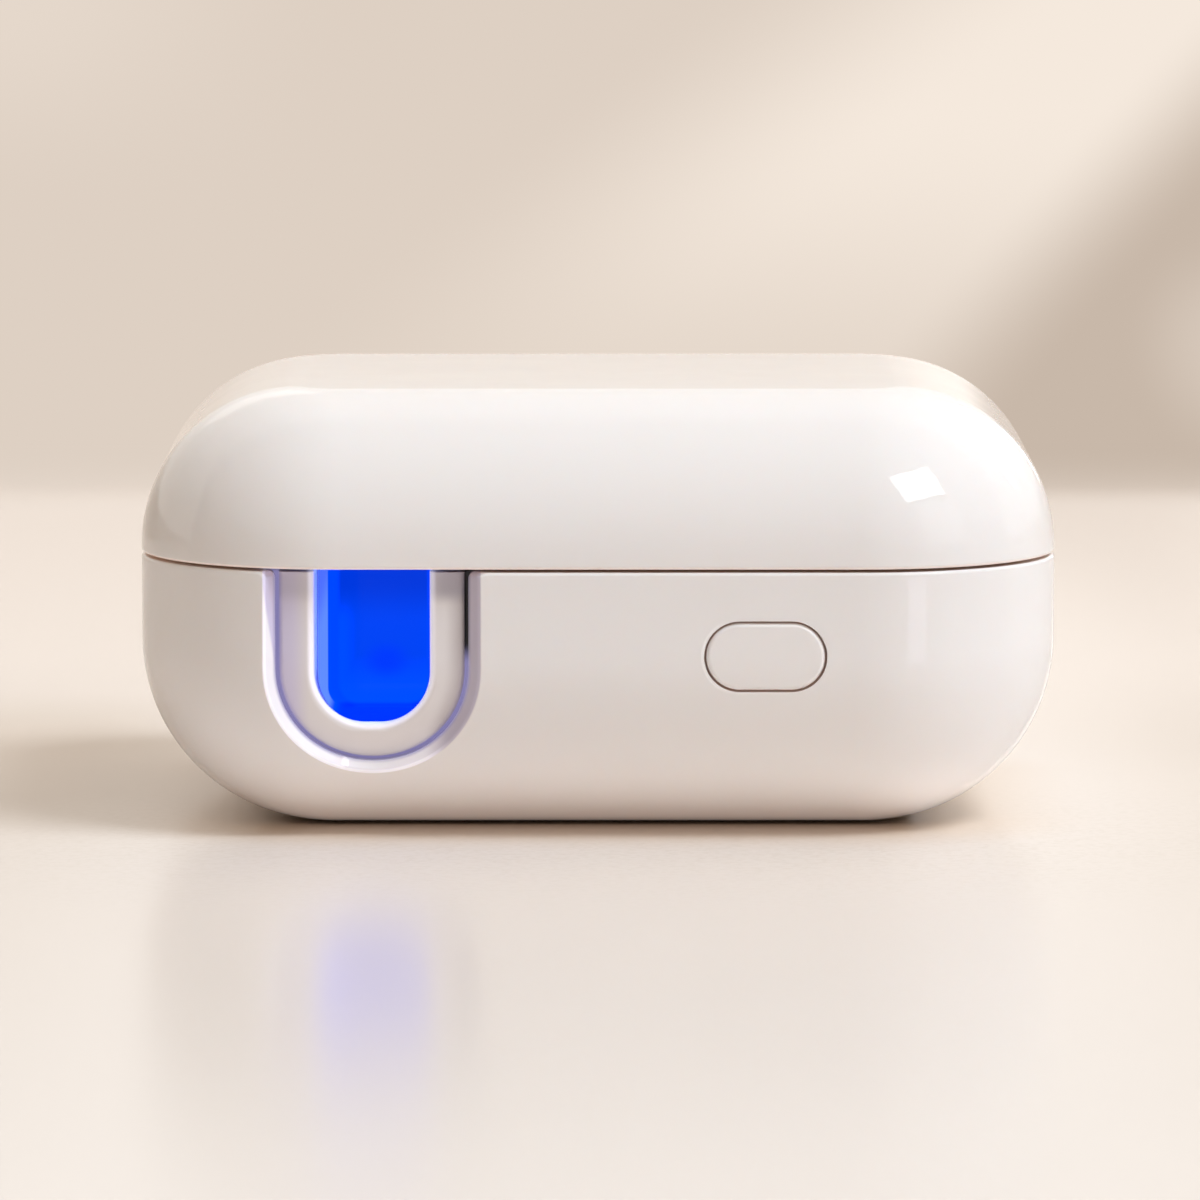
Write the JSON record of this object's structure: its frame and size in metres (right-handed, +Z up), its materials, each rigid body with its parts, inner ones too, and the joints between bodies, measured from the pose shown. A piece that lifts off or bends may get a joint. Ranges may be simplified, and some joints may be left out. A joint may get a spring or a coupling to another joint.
{
  "type": "uv toothbrush case",
  "caption": "Rounded pocket case on a rear hinge that cleans a toothbrush head with a UV lamp, with a U-shaped neck slot and a push button at the front.",
  "frame": {"origin": "centre of the bounding box at the bottom, on the surface that the case stands on", "axes": "+X to the right seen from the front, front at -Y, +Z up"},
  "size_m": [0.065, 0.0538, 0.031],
  "materials": {
    "case_white": "glossy moulded plastic",
    "bezel_grey": "satin moulded plastic",
    "tray_grey": "matte moulded plastic",
    "bright_sheet": "bright formed sheet",
    "pin_steel": "drawn steel",
    "screw_steel": "plated steel",
    "magnet_nickel": "nickel plated",
    "clear_window": "clear polished",
    "lamp_ceramic": "ceramic package",
    "lamp_board_white": "white solder mask",
    "board_green": "green solder mask",
    "black_moulding": "matte black",
    "pin_gold": "gold plated",
    "socket_steel": "stamped steel",
    "battery_foil": "foil pouch",
    "tape_foam": "foam tape",
    "plug_ivory": "moulded nylon",
    "lead_red": "soft insulation",
    "switch_black": "moulded nylon",
    "plunger_brown": "moulded nylon"
  },
  "bodies": {
    "base": {"base_shell": "case_white", "hinge_pin": "pin_steel", "neck_bezel": "bezel_grey", "cavity_tray": "tray_grey", "base_reflector": "bright_sheet", "tray_screws": "screw_steel", "board_screws": "screw_steel", "base_magnets": "magnet_nickel", "lamp_window": "clear_window", "lamp_leds": "lamp_ceramic", "lamp_board": "lamp_board_white", "lamp_header": "black_moulding", "header_pins": "pin_gold", "main_board": "board_green", "board_chips": "black_moulding", "lid_sensor": "black_moulding", "usb_socket": "socket_steel", "usb_tongue": "black_moulding", "tact_switch": "switch_black", "battery_cell": "battery_foil", "battery_tape": "tape_foam", "plug_socket": "plug_ivory", "battery_plug": "plug_ivory", "battery_leads": "lead_red"},
    "lid": {"lid_shell": "case_white", "lid_liner": "tray_grey", "lid_reflector": "bright_sheet", "lid_screws": "screw_steel", "lid_magnets": "magnet_nickel"},
    "button": {"button_cap": "case_white"},
    "plunger": {"switch_plunger": "plunger_brown"}
  },
  "joints": [
    {"name": "lid_hinge", "type": "hinge", "parent": "base", "child": "lid", "pos_m": [0, 0.0255, 0.0192], "axis": [-1, 0, 0], "range_deg": [0, 105]},
    {"name": "button_press", "type": "slide", "parent": "base", "child": "button", "axis": [0, 1, 0], "range_m": [0, 0.00035], "stiffness_N_per_m": 500, "springref_m": -0.0008},
    {"name": "plunger_slide", "type": "slide", "parent": "base", "child": "plunger", "axis": [0, 1, 0], "range_m": [0, 0.00035]}
  ],
  "couplings": [
    {"joint": "plunger_slide", "follows": "button_press", "ratio": 1}
  ]
}
